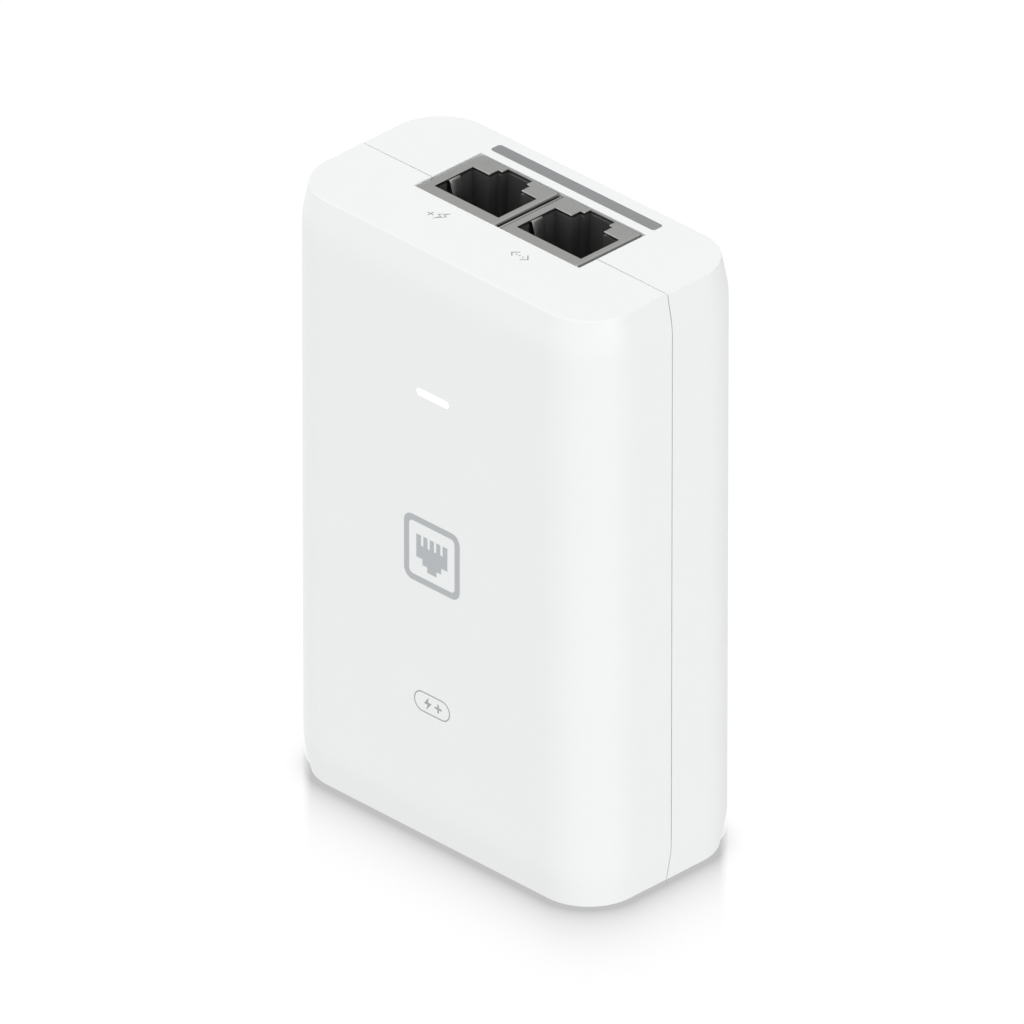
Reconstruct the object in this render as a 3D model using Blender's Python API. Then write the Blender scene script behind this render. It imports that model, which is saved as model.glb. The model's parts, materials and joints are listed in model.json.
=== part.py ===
"""A PoE injector: a white two-part case that stands on end, with two RJ45 ports on top.

Modelled in millimetres and placed in metres. The origin is the middle of the flat base, +X is to
the right, the face with the status light looks along -Y, and +Z is up.
"""

import math

import bmesh
import bpy
from mathutils import Vector

MM = 0.001

# Case
CASE_WIDTH = 58.6
CASE_DEPTH = 30.9
CASE_HEIGHT = 89.2
CASE_CORNER = 8.55
CORNER_STEPS = 8
WALL = 2.0
END_INSET = 0.93
END_SLOPE = 0.195
END_STRAIGHT = 3.3
END_BREAK = 0.2
BLEND_STEPS = 3
SEAM = 0.2
LIP_INSET = 1.2
LIP_HEIGHT = 1.2
LIP_SIDE_GAP = 0.25
GAP = 0.3

# Ports
PORT_X = 7.67
PORT_OFFSET = {"left": -PORT_X, "right": PORT_X}
PORT_FACE = CASE_HEIGHT - 0.15
CUTOUT_X = 15.38
CUTOUT_FRONT = -3.27
CUTOUT_REAR = 9.02
CUTOUT_BREAK = 0.2
SHIELD_HALF = 7.5
SHIELD_FRONT = -3.1
SHIELD_REAR = 8.87
SHIELD_DEPTH = 21.3
SHEET = 0.25
SHIELD_GAP = 0.2
PLUG_HALF = 5.98
PLUG_FRONT = -1.37
PLUG_REAR = 5.66
LATCH_STEPS = ((2.95, 7.3), (2.25, 8.45))
PLUG_DEPTH = 14.5
HOUSING_GROWTH = 0.05

# Port contacts
CONTACTS = 8
CONTACT_PITCH = 1.02
CONTACT_WIDTH = 0.36
CONTACT_THICK = 0.3
CONTACT_ROOT = (-1.8, 4.2)
CONTACT_BEND = 0.45
CONTACT_RUN = 8.6
CONTACT_ANGLE = 14.5
ARM_HALF = 4.25
ARM_FRONT = -2.15
ARM_REAR = -1.45
ARM_TIP = 4.5
BLOCK_TOP = 15.4
BLOCK_END = 20.4
POCKET_HALF = 4.5
POCKET_FRONT = -2.4
POCKET_TOP = 2.6
BLOCK_POCKET_TOP = 15.1

# Ground springs: profile as (distance in from the shield's middle line, depth)
SPRING_FRONT = 1.27
SPRING_REAR = 3.24
SPRING_THICK = 0.18
SPRING_ROOT = (6.4, 0.95)
SPRING_FOLD = (SPRING_ROOT, (6.27, 0.62), (6.08, 0.56), (5.92, 0.72))
SPRING_RUN = ((5.24, 3.3), (5.2, 3.7), (5.5, 5.2))
SPRING_SLOT_HALF = 6.85
SPRING_SLOT_DEPTH = 9.5

# Status light
LIGHT_Z = 68.2
LIGHT_LENGTH = 5.9
LIGHT_HEIGHT = 1.05
LIGHT_GAP = 0.1
LIGHT_RECESS = 0.05
FLANGE = (8.6, 0.8, 3.4)
ROD_HALF = 1.75
ROD_THICK = 2.0
ROD_Z = 63.4
LED_SIZE = (3.2, 1.1, 1.6)

# Main board
BOARD_HALF = 24.6
BOARD_FRONT = 9.2
BOARD_THICK = 1.6
BOARD_BOTTOM = 5.0
BOARD_TOP = 86.4
POST_X = 22.5
POST_HEIGHTS = (9.0, 64.2)
POST_RADIUS = 2.2

# Mains inlet
INLET_HALF = (9.75, 7.75)
INLET_CORNER = 1.5
INLET_RECESS = 0.3
INLET_HEIGHT = 18.3
INLET_FLANGE = (11.2, 9.0, 2.0)
INLET_DEPTH = 16.0
INLET_LOBE = 3.4
INLET_WEB = 1.3
INLET_PIN = 1.18
INLET_PIN_HOLE = 1.4
INLET_PINS = {"line": (-5.0, -3.1), "neutral": (5.0, -3.1), "earth": (0.0, 3.1)}
INLET_PIN_START = 2.6
INLET_PIN_BEND = 20.2
PIN_BEND_RADIUS = 1.9

COLOURS = {
    "shell": ((0.86, 0.87, 0.87), 0.42, 0.0),
    "steel": ((0.62, 0.62, 0.60), 0.30, 1.0),
    "black_plastic": ((0.025, 0.025, 0.027), 0.45, 0.0),
    "gold": ((0.83, 0.62, 0.27), 0.25, 1.0),
    "light": ((0.95, 0.97, 1.0), 0.25, 0.0),
    "board": ((0.03, 0.16, 0.07), 0.5, 0.0),
    "nickel": ((0.70, 0.68, 0.63), 0.28, 1.0),
    "can": ((0.05, 0.06, 0.09), 0.35, 0.0),
    "ferrite": ((0.07, 0.07, 0.075), 0.7, 0.0),
    "copper": ((0.58, 0.24, 0.10), 0.35, 0.8),
    "tape": ((0.80, 0.62, 0.12), 0.4, 0.0),
    "chip": ((0.03, 0.03, 0.032), 0.55, 0.0),
    "aluminium": ((0.72, 0.73, 0.74), 0.35, 1.0),
    "blue_coat": ((0.06, 0.20, 0.52), 0.4, 0.0),
    "yellow_box": ((0.78, 0.60, 0.10), 0.45, 0.0),
    "sheet": ((0.88, 0.86, 0.80), 0.35, 0.0),
}


# ---------------------------------------------------------------- outlines, in millimetres

def rectangle(low, high):
    return [(low[0], low[1]), (high[0], low[1]), (high[0], high[1]), (low[0], high[1])]


def arc(centre, radius, start, end, steps):
    """Points from start to end degrees, both included."""
    angles = [math.radians(start + (end - start) * i / steps) for i in range(steps + 1)]
    return [(centre[0] + radius * math.cos(a), centre[1] + radius * math.sin(a)) for a in angles]


def disc(centre, radius, steps=20):
    return arc(centre, radius, 0, 360, steps)[:-1]


def rounded_rectangle(half, corner, steps, centre=(0.0, 0.0)):
    points = []
    for quarter, (side_x, side_y) in enumerate(((1, 1), (-1, 1), (-1, -1), (1, -1))):
        middle = (centre[0] + side_x * (half[0] - corner), centre[1] + side_y * (half[1] - corner))
        points += arc(middle, corner, 90 * quarter, 90 * quarter + 90, steps)
    return points


def stadium(length, height, steps=8, centre=(0.0, 0.0)):
    radius = height / 2
    reach = length / 2 - radius
    right = arc((centre[0] + reach, centre[1]), radius, -90, 90, steps)
    left = arc((centre[0] - reach, centre[1]), radius, 90, 270, steps)
    return right + left


def ribbon(path, thickness):
    """The outline of a strip of even thickness along a path, with mitred bends."""
    points = [Vector(p) for p in path]
    runs = [(b - a).normalized() for a, b in zip(points, points[1:])]
    before = [runs[0]] + runs
    after = runs + [runs[-1]]
    near, far = [], []
    for point, run_in, run_out in zip(points, before, after):
        across = Vector((-run_in.y - run_out.y, run_in.x + run_out.x)).normalized()
        reach = thickness / 2 / across.dot(Vector((-run_in.y, run_in.x)))
        near.append(tuple(point + across * reach))
        far.append(tuple(point - across * reach))
    return near + far[::-1]


# ---------------------------------------------------------------- solids

def prism(outline, axis, low, high):
    """An outline extruded along X, Y or Z. Its points hold the other two coordinates, in order."""
    place = {
        "X": lambda p, t: (t, p[0], p[1]),
        "Y": lambda p, t: (p[0], t, p[1]),
        "Z": lambda p, t: (p[0], p[1], t),
    }[axis]
    return loft([[place(p, t) for p in outline] for t in (low, high)])


def loft(rings):
    """A closed solid through rings of equally many points, with flat ends."""
    bm = bmesh.new()
    rows = [[bm.verts.new(p) for p in ring] for ring in rings]
    count = len(rows[0])
    for lower, upper in zip(rows, rows[1:]):
        for i in range(count):
            j = (i + 1) % count
            bm.faces.new((lower[i], lower[j], upper[j], upper[i]))
    bm.faces.new(rows[0][::-1])
    bm.faces.new(rows[-1])
    bmesh.ops.recalc_face_normals(bm, faces=bm.faces)
    return bm


def block(low, high):
    return prism(rectangle(low[:2], high[:2]), "Z", low[2], high[2])


def sleeve(outer, inner, axis, low, high):
    """A tube between two outlines with equally many points."""
    ends = {
        "X": lambda p, t: (t, p[0], p[1]),
        "Y": lambda p, t: (p[0], t, p[1]),
    }[axis]
    bm = bmesh.new()
    rows = [[bm.verts.new(ends(p, t)) for p in line] for line in (outer, inner) for t in (low, high)]
    outer_low, outer_high, inner_low, inner_high = rows
    count = len(outer)
    for i in range(count):
        j = (i + 1) % count
        bm.faces.new((outer_low[i], outer_low[j], outer_high[j], outer_high[i]))
        bm.faces.new((inner_low[i], inner_high[i], inner_high[j], inner_low[j]))
        bm.faces.new((outer_high[i], outer_high[j], inner_high[j], inner_high[i]))
        bm.faces.new((outer_low[i], inner_low[i], inner_low[j], outer_low[j]))
    bmesh.ops.recalc_face_normals(bm, faces=bm.faces)
    return bm


def turned(bm, section_at, angles):
    """A row of points at each angle round the Y axis. section_at(cos, sin) gives one row."""
    turns = [(math.cos(math.radians(angle)), math.sin(math.radians(angle))) for angle in angles]
    return [[bm.verts.new(p) for p in section_at(*turn)] for turn in turns]


def ring(section_at, steps):
    """A closed ring of one section carried all the way round the Y axis."""
    bm = bmesh.new()
    rows = turned(bm, section_at, [360 * i / steps for i in range(steps)])
    count = len(rows[0])
    for first, second in zip(rows, rows[1:] + rows[:1]):
        for i in range(count):
            j = (i + 1) % count
            bm.faces.new((first[i], first[j], second[j], second[i]))
    bmesh.ops.recalc_face_normals(bm, faces=bm.faces)
    return bm


# ---------------------------------------------------------------- scene objects

def clear_scene():
    for obj in list(bpy.data.objects):
        bpy.data.objects.remove(obj, do_unlink=True)


def finish_for(name, kind):
    colour, roughness, metallic = COLOURS[kind]
    material = bpy.data.materials.new(name + "_" + kind)
    material.use_nodes = True
    shader = material.node_tree.nodes["Principled BSDF"]
    shader.inputs["Base Color"].default_value = (*colour, 1.0)
    shader.inputs["Roughness"].default_value = roughness
    shader.inputs["Metallic"].default_value = metallic
    return material


def add(name, bm, kind=None, at=(0.0, 0.0, 0.0), parent=None):
    """Puts a solid drawn about the point at into the scene. With no kind it is a cutter or a filler."""
    bmesh.ops.scale(bm, vec=(MM, MM, MM), verts=bm.verts)
    mesh = bpy.data.meshes.new(name)
    bm.to_mesh(mesh)
    bm.free()
    obj = bpy.data.objects.new(name, mesh)
    bpy.context.scene.collection.objects.link(obj)
    obj.location = Vector(at) * MM
    if parent:
        obj.parent = parent
    if kind:
        mesh.shade_smooth()
        mesh.set_sharp_from_angle(angle=math.radians(32))
        mesh.materials.append(finish_for(name, kind))
    else:
        obj.hide_render = True
        obj.display_type = "WIRE"
    return obj


def combine(obj, bm, operation):
    """Joins a helper solid to an object, or cuts it away. The helper is drawn about the same point."""
    helper = add(obj.name + "_helper_" + str(len(obj.modifiers)), bm)
    helper.location = obj.location
    helper.parent = obj.parent
    modifier = obj.modifiers.new(operation.lower(), "BOOLEAN")
    modifier.operation = operation
    modifier.solver = "EXACT"
    modifier.object = helper


def cut(obj, bm):
    combine(obj, bm, "DIFFERENCE")


def join(obj, bm):
    combine(obj, bm, "UNION")


def empty(name, at):
    obj = bpy.data.objects.new(name, None)
    obj.empty_display_size = 2 * MM
    bpy.context.scene.collection.objects.link(obj)
    obj.location = Vector(at) * MM
    return obj


# ---------------------------------------------------------------- case

def end_levels():
    """(distance from an end, inset there) of the case's tapered ends, from the end to the full size."""
    left = END_INSET - END_SLOPE * END_STRAIGHT
    blend = 2 * left / END_SLOPE
    levels = [(0.0, END_INSET + END_BREAK), (END_BREAK, END_INSET - END_SLOPE * END_BREAK)]
    for step in range(BLEND_STEPS + 1):
        share = step / BLEND_STEPS
        levels.append((END_STRAIGHT + blend * share, left * (1 - share) ** 2))
    return levels


def inset_at(distance):
    levels = end_levels()
    for (low, inset_low), (high, inset_high) in zip(levels[1:], levels[2:]):
        if distance <= high:
            return inset_low + (inset_high - inset_low) * (distance - low) / (high - low)
    return 0.0


def half_ring(inset, cut_y, side, z):
    """The case's outline at one height, on one side of the plane y = cut_y."""
    corner = CASE_CORNER - inset
    half_x = CASE_WIDTH / 2 - inset
    half_y = CASE_DEPTH / 2 - inset
    right = arc((half_x - corner, half_y - corner), corner, 0, 90, CORNER_STEPS)
    left = [(-x, y) for x, y in reversed(right)]
    points = [(half_x, side * cut_y)] + right + left + [(-half_x, side * cut_y)]
    return [(x, side * y, z) for x, y in points]


def half_case(offset, cut_y, side):
    """Half of the case's outer form, drawn in by offset all round."""
    if offset:
        reach = [level for level, _ in end_levels() if level > offset]
        levels = [(d, inset_at(d) + offset) for d in [offset] + reach]
    else:
        levels = end_levels()
    upper = [(CASE_HEIGHT - d, inset) for d, inset in reversed(levels)]
    return loft([half_ring(inset, cut_y, side, z) for z, inset in levels + upper])


def port_cutout():
    """The opening that both ports share, with a broken top edge."""
    def edge_at(z, growth):
        low = (-CUTOUT_X - growth, CUTOUT_FRONT - growth)
        high = (CUTOUT_X + growth, CUTOUT_REAR + growth)
        return [(x, y, z) for x, y in rectangle(low, high)]

    beyond = 1.0
    return loft([
        edge_at(CASE_HEIGHT - WALL - beyond, 0.0),
        edge_at(CASE_HEIGHT - CUTOUT_BREAK, 0.0),
        edge_at(CASE_HEIGHT + beyond, CUTOUT_BREAK + beyond),
    ])


def inlet_cutout():
    half = (INLET_HALF[0] + GAP, INLET_HALF[1] + GAP)
    outline = rounded_rectangle(half, INLET_CORNER + GAP, 4)
    return prism(outline, "Z", -1.0, WALL + 1.0)


def front_shell():
    shell = add("front_shell", half_case(0.0, -SEAM / 2, -1), "shell")
    join(shell, half_case(LIP_INSET, LIP_HEIGHT, -1))
    cut(shell, half_case(WALL, LIP_HEIGHT + 1.0, -1))
    wall_face = -CASE_DEPTH / 2 + WALL
    for x in (-POST_X, POST_X):
        for z in POST_HEIGHTS:
            post = prism(disc((x, z), POST_RADIUS, 16), "Y", wall_face - 0.5, BOARD_FRONT - GAP)
            join(shell, post)
    cut(shell, port_cutout())
    cut(shell, inlet_cutout())
    hole = stadium(LIGHT_LENGTH + 2 * LIGHT_GAP, LIGHT_HEIGHT + 2 * LIGHT_GAP, centre=(0.0, LIGHT_Z))
    cut(shell, prism(hole, "Y", -CASE_DEPTH / 2 - 1.0, wall_face + 1.0))


def rear_shell():
    shell = add("rear_shell", half_case(0.0, SEAM / 2, 1), "shell")
    cut(shell, half_case(LIP_INSET - LIP_SIDE_GAP, LIP_HEIGHT + GAP, -1))
    cut(shell, half_case(WALL, -1.0, 1))
    wall_face = CASE_DEPTH / 2 - WALL
    board_rear = BOARD_FRONT + BOARD_THICK
    for x in (-POST_X, POST_X):
        for z in POST_HEIGHTS:
            join(shell, prism(disc((x, z), POST_RADIUS, 16), "Y", board_rear + GAP, wall_face + 0.5))
    cut(shell, port_cutout())
    cut(shell, inlet_cutout())


# ---------------------------------------------------------------- ports

def plug_outline(growth):
    """An RJ45 opening seen from above: the plug's body and the stepped notch for its latch."""
    right = [(PLUG_HALF + growth, PLUG_FRONT - growth), (PLUG_HALF + growth, PLUG_REAR + growth)]
    level = PLUG_REAR + growth
    for half, rear in LATCH_STEPS:
        right += [(half + growth, level), (half + growth, rear)]
        level = rear
    return right + [(-x, y) for x, y in reversed(right)]


def port_shield(side, centre):
    body = block((-SHIELD_HALF, SHIELD_FRONT, -SHIELD_DEPTH), (SHIELD_HALF, SHIELD_REAR, 0.0))
    shield = add("port_" + side + "_shield", body, "steel", centre)
    inner = SHIELD_HALF - SHEET
    cut(shield, block((-inner, SHIELD_FRONT + SHEET, SHEET - SHIELD_DEPTH), (inner, SHIELD_REAR + 1.0, -SHEET)))
    cut(shield, prism(plug_outline(0.0), "Z", -SHEET - 0.5, 0.5))


def port_housing(side, centre):
    half = SHIELD_HALF - SHEET - SHIELD_GAP
    front = SHIELD_FRONT + SHEET + SHIELD_GAP
    rear = LATCH_STEPS[-1][1] + SHEET
    top = -SHEET - SHIELD_GAP
    bottom = SHEET + SHIELD_GAP + GAP - SHIELD_DEPTH
    housing = add("port_" + side + "_housing", block((-half, front, bottom), (half, rear, top)),
                  "black_plastic", centre)
    cut(housing, prism(plug_outline(HOUSING_GROWTH), "Z", -PLUG_DEPTH, 1.0))
    cut(housing, block((-POCKET_HALF, POCKET_FRONT, bottom - 1.0), (POCKET_HALF, 0.0, -POCKET_TOP)))
    cut(housing, block((-POCKET_HALF, -1.0, bottom - 2.0), (POCKET_HALF, rear + 1.0, -BLOCK_POCKET_TOP)))
    slot = (SPRING_FRONT - GAP, SPRING_REAR + GAP)
    cut(housing, block((-SPRING_SLOT_HALF, slot[0], -SPRING_SLOT_DEPTH), (SPRING_SLOT_HALF, slot[1], 2.0)))


def contact_block(side, centre):
    """The moulded insert that holds the contacts, an arm over the plug and a block behind it."""
    rear = LATCH_STEPS[-1][1]
    outline = [(ARM_FRONT, -BLOCK_END), (rear, -BLOCK_END), (rear, -BLOCK_TOP), (ARM_REAR, -BLOCK_TOP),
               (ARM_REAR, -ARM_TIP), (ARM_FRONT, -ARM_TIP)]
    add("port_" + side + "_contact_block", prism(outline, "X", -ARM_HALF, ARM_HALF), "black_plastic", centre)


def contact_path():
    """A contact's middle line about its root: up, over a tight bend, and back down into the port."""
    lean = CONTACT_ANGLE
    rise = 0.35
    bend = arc((CONTACT_BEND, rise), CONTACT_BEND, 180, lean, 5)
    end = bend[-1]
    slope = math.radians(lean)
    tip = (end[0] + CONTACT_RUN * math.sin(slope), end[1] - CONTACT_RUN * math.cos(slope))
    return [(0.0, 0.0)] + bend + [tip]


def contacts(side, centre):
    """Eight spring wires that bend as one when a plug goes in."""
    root_y, root_depth = CONTACT_ROOT
    axis = empty("port_" + side + "_contact_axis", (centre[0], centre[1] + root_y, centre[2] - root_depth))
    outline = ribbon(contact_path(), CONTACT_THICK)
    for number in range(CONTACTS):
        x = (number - (CONTACTS - 1) / 2) * CONTACT_PITCH
        wire = prism(outline, "X", -CONTACT_WIDTH / 2, CONTACT_WIDTH / 2)
        add("port_" + side + "_contact_" + str(number + 1), wire, "gold", (x, 0.0, 0.0), axis)


def ground_springs(side, centre):
    """A sprung finger in each side wall of the port, drawn about its fold."""
    for hand, sign in (("inner", -math.copysign(1, centre[0])), ("outer", math.copysign(1, centre[0]))):
        root_x, root_depth = SPRING_ROOT
        path = [(sign * (x - root_x), root_depth - depth) for x, depth in SPRING_FOLD + SPRING_RUN]
        finger = prism(ribbon(path, SPRING_THICK), "Y", 0.0, SPRING_REAR - SPRING_FRONT)
        at = (centre[0] + sign * root_x, centre[1] + SPRING_FRONT, centre[2] - root_depth)
        add("port_" + side + "_ground_spring_" + hand, finger, "steel", at)


def port(side):
    centre = (PORT_OFFSET[side], 0.0, PORT_FACE)
    port_shield(side, centre)
    port_housing(side, centre)
    contact_block(side, centre)
    contacts(side, centre)
    ground_springs(side, centre)


# ---------------------------------------------------------------- status light

def status_light():
    """A clear pipe from the front window, down under the ports and back to the light on the board."""
    front = -CASE_DEPTH / 2 + LIGHT_RECESS
    flange_front = -CASE_DEPTH / 2 + WALL + GAP
    flange_rear = flange_front + FLANGE[1]
    window = prism(stadium(LIGHT_LENGTH, LIGHT_HEIGHT), "Y", front, flange_front + 0.4)
    pipe = add("status_light_pipe", window, "light", (0.0, 0.0, LIGHT_Z))
    flange_half = (FLANGE[0] / 2, FLANGE[2] / 2)
    flange = rectangle((-flange_half[0], -flange_half[1]), flange_half)
    join(pipe, prism(flange, "Y", flange_front, flange_rear))
    drop = ROD_Z - LIGHT_Z
    top = LIGHT_HEIGHT / 2 + 0.3
    led_face = BOARD_FRONT - GAP - LED_SIZE[1]
    turn = flange_rear + 1.2
    bevel = 0.9
    outline = [
        (flange_rear - 0.4, top),
        (turn + ROD_THICK - bevel, top),
        (turn + ROD_THICK, top - bevel),
        (turn + ROD_THICK, drop + ROD_THICK / 2),
        (led_face - GAP, drop + ROD_THICK / 2),
        (led_face - GAP, drop - ROD_THICK / 2),
        (turn + bevel, drop - ROD_THICK / 2),
        (turn, drop - ROD_THICK / 2 + bevel),
        (turn, -top),
        (flange_rear - 0.4, -top),
    ]
    join(pipe, prism(outline, "X", -ROD_HALF, ROD_HALF))
    half = LED_SIZE[0] / 2
    lamp = block((-half, -LED_SIZE[1], -LED_SIZE[2] / 2), (half, 0.0, LED_SIZE[2] / 2))
    add("status_led", lamp, "light", (0.0, BOARD_FRONT - GAP, ROD_Z))


# ---------------------------------------------------------------- mains inlet

def inlet():
    outline = rounded_rectangle(INLET_HALF, INLET_CORNER, 4)
    housing = add("inlet_housing", prism(outline, "Z", INLET_RECESS, INLET_HEIGHT), "black_plastic")
    flange = rounded_rectangle(INLET_FLANGE[:2], INLET_CORNER, 4)
    join(housing, prism(flange, "Z", WALL + GAP, WALL + GAP + INLET_FLANGE[2]))
    centre = sum((Vector(at) for at in INLET_PINS.values()), Vector((0.0, 0.0))) / len(INLET_PINS)
    middle = [centre + (Vector(at) - centre) * INLET_WEB for at in INLET_PINS.values()]
    cut(housing, prism(middle, "Z", -1.0, INLET_DEPTH))
    for name, at in INLET_PINS.items():
        cut(housing, prism(disc(at, INLET_LOBE, 24), "Z", -1.0, INLET_DEPTH))
        cut(housing, prism(disc(at, INLET_PIN_HOLE, 16), "Z", INLET_DEPTH - 1.0, INLET_HEIGHT + 1.0))
        inlet_pin(name, at)


def inlet_pin(name, at):
    """A round pin that stands in the inlet and turns back to the board behind it."""
    turn = arc((PIN_BEND_RADIUS, INLET_PIN_BEND - PIN_BEND_RADIUS), PIN_BEND_RADIUS, 180, 90, 4)
    path = [(0.0, INLET_PIN_START + 0.5)] + turn + [(BOARD_FRONT - GAP - at[1], INLET_PIN_BEND)]
    points = [Vector((0.0, y, z)) for y, z in path]
    rings = []
    for i, point in enumerate(points):
        before = points[max(i - 1, 0)]
        after = points[min(i + 1, len(points) - 1)]
        along = (after - before).normalized()
        across = Vector((0.0, along.z, -along.y))
        for radius, shift in pin_ends(i):
            outline = disc((0.0, 0.0), radius, 12)
            rings.append([point + along * shift + Vector((u, 0.0, 0.0)) + across * v for u, v in outline])
    add("inlet_pin_" + name, loft(rings), "nickel", (at[0], at[1], 0.0))


def pin_ends(index):
    """The pin's tip is tapered; elsewhere it is one ring."""
    if index == 0:
        return ((INLET_PIN * 0.55, -0.5), (INLET_PIN, 0.1))
    return ((INLET_PIN, 0.0),)


# ---------------------------------------------------------------- electronics

def board():
    outline = rounded_rectangle((BOARD_HALF, (BOARD_TOP - BOARD_BOTTOM) / 2), 1.5, 3)
    middle = (0.0, BOARD_FRONT, (BOARD_TOP + BOARD_BOTTOM) / 2)
    add("main_board", prism(outline, "Y", 0.0, BOARD_THICK), "board", middle)


def on_board(name, kind, centre, size, height):
    """A box of size (x, z) that stands off the board's front face."""
    half = (size[0] / 2, size[1] / 2)
    outline = rounded_rectangle(half, 0.4, 2)
    add(name, prism(outline, "Y", -height, 0.0), kind, (centre[0], BOARD_FRONT - GAP, centre[1]))


def behind_board(name, centre, size, height):
    half = (size[0] / 2, size[1] / 2)
    outline = rectangle((-half[0], -half[1]), half)
    rear = BOARD_FRONT + BOARD_THICK + GAP
    add(name, prism(outline, "Y", 0.0, height), "chip", (centre[0], rear, centre[1]))


def can(name, centre, radius, height, kind="can"):
    """A can that stands off the board, with a rolled edge at its far end."""
    edge = 0.6
    levels = ((radius, 0.0), (radius, edge - height), (radius - edge, -height))
    rings = [[(x, y, z) for x, z in disc((0.0, 0.0), r, 24)] for r, y in levels]
    add(name, loft(rings), kind, (centre[0], BOARD_FRONT - GAP, centre[1]))


def upright_disc(name, kind, centre, radius, thickness):
    """A coated disc on edge, its flat sides up and down."""
    outline = disc((0.0, 0.0), radius, 20)
    at = (centre[0], BOARD_FRONT - 0.5 - radius, centre[1])
    add(name, prism(outline, "Z", -thickness / 2, thickness / 2), kind, at)


def common_mode_choke(centre):
    """A ferrite ring with two windings round it, flat on the board."""
    inner, outer, half = 3.8, 6.4, 2.6
    at = (centre[0], BOARD_FRONT - 4.6, centre[1])

    def core_section(c, s):
        corners = ((inner, -half), (outer, -half), (outer, half), (inner, half))
        return [(r * c, y, r * s) for r, y in corners]

    add("choke_core", ring(core_section, 24), "ferrite", at)

    def wound_section(c, s):
        near, far, reach = inner - GAP, outer + GAP, half + GAP
        thick = 0.8
        inside = ((near, -reach), (far, -reach), (far, reach), (near, reach))
        outside = ((near - thick, -reach - thick), (far + thick, -reach - thick),
                   (far + thick, reach + thick), (near - thick, reach + thick))
        return [(r * c, y, r * s) for r, y in inside + outside]

    for name, start in (("line", 25), ("neutral", 205)):
        add("choke_winding_" + name, winding(wound_section, [start + i * 13 for i in range(11)]), "copper", at)


def winding(section, angles):
    """A hollow sleeve along part of a ring: four inner and four outer corners at each angle."""
    bm = bmesh.new()
    rows = turned(bm, section, angles)
    for first, second in zip(rows, rows[1:]):
        for i in range(4):
            j = (i + 1) % 4
            bm.faces.new((first[i], first[j], second[j], second[i]))
            bm.faces.new((first[i + 4], second[i + 4], second[j + 4], first[j + 4]))
    for row in (rows[0], rows[-1]):
        for i in range(4):
            j = (i + 1) % 4
            bm.faces.new((row[i], row[i + 4], row[j + 4], row[j]))
    bmesh.ops.recalc_face_normals(bm, faces=bm.faces)
    return bm


def transformer(centre):
    """Two E-shaped ferrite halves that meet inside one wound bobbin."""
    length, height, depth = 26.0, 22.0, 8.0
    plate, outer_leg, centre_leg = 3.2, 3.4, 7.0
    at = (centre[0], -1.5, centre[1])
    reach = GAP / 2
    for name, sign in (("left", -1), ("right", 1)):
        x_far, x_plate = sign * length / 2, sign * (length / 2 - plate)
        x_near = sign * reach
        top, leg, mid = height / 2, height / 2 - outer_leg, centre_leg / 2
        lower = [(x_far, -top), (x_near, -top), (x_near, -leg), (x_plate, -leg), (x_plate, -mid), (x_near, -mid)]
        outline = lower + [(x, -z) for x, z in reversed(lower)]
        add("transformer_core_" + name, prism(outline, "Y", -depth / 2, depth / 2), "ferrite", at)
    hole = (depth / 2 + GAP, centre_leg / 2 + GAP)
    body = (8.6, height / 2 - outer_leg - GAP)
    steps = 4
    outer = rounded_rectangle(body, 3.0, steps)
    inner = rounded_rectangle(hole, 0.3, steps)
    span = length / 2 - plate - GAP
    add("transformer_winding", sleeve(outer, inner, "X", -span, span), "tape", at)


def power_parts():
    on_board("fuse", "blue_coat", (-15.8, 8.2), (8.4, 4.3), 7.7)
    upright_disc("varistor", "blue_coat", (-16.6, 15.2), 4.5, 4.0)
    on_board("x_capacitor", "yellow_box", (15.1, 10.8), (10.0, 6.2), 12.0)
    common_mode_choke((16.2, 25.2))
    on_board("bridge_rectifier", "chip", (-17.4, 21.6), (10.0, 3.6), 10.6)
    can("bulk_capacitor", (-16.6, 32.4), 8.0, 20.0)
    on_board("switch_transistor", "chip", (0.6, 24.8), (10.2, 4.5), 18.0)
    on_board("primary_heatsink", "aluminium", (0.0, 28.5), (15.6, 2.0), 20.0)
    transformer((5.5, 45.4))
    upright_disc("y_capacitor", "blue_coat", (-13.6, 44.6), 4.0, 3.4)
    on_board("optocoupler", "chip", (-21.4, 46.0), (4.6, 6.5), 3.5)
    can("output_capacitor_left", (-12.6, 52.8), 4.0, 15.0)
    can("output_capacitor_right", (22.6, 51.4), 4.0, 15.0)
    on_board("output_rectifier", "chip", (22.7, 40.4), (6.6, 9.6), 4.4)
    can("output_choke", (-21.8, 56.8), 3.9, 8.0, "ferrite")


def network_parts():
    for side, sign in (("left", -1), ("right", 1)):
        on_board("lan_magnetics_" + side, "chip", (sign * 11.5, 62.2), (11.4, 8.8), 5.8)
    behind_board("poe_controller", (8.0, 62.0), (7.0, 7.0), 1.0)
    behind_board("pwm_controller", (-12.0, 30.0), (5.0, 4.0), 1.5)


def insulation_sheet():
    face = CASE_DEPTH / 2 - WALL - GAP
    half = 19.5
    outline = rectangle((-half, BOARD_BOTTOM + 1.0), (half, 60.0))
    add("insulation_sheet", prism(outline, "Y", face - 0.25, face), "sheet")


clear_scene()
front_shell()
rear_shell()
for port_side in PORT_OFFSET:
    port(port_side)
status_light()
inlet()
board()
power_parts()
network_parts()
insulation_sheet()
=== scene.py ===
"""The looks of an upright PoE injector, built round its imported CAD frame.

Shapes are worked out in millimetres and scaled to metres when their mesh is made. The floor, the
camera and the grain of the materials are in metres.
"""

import json
import math

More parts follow.
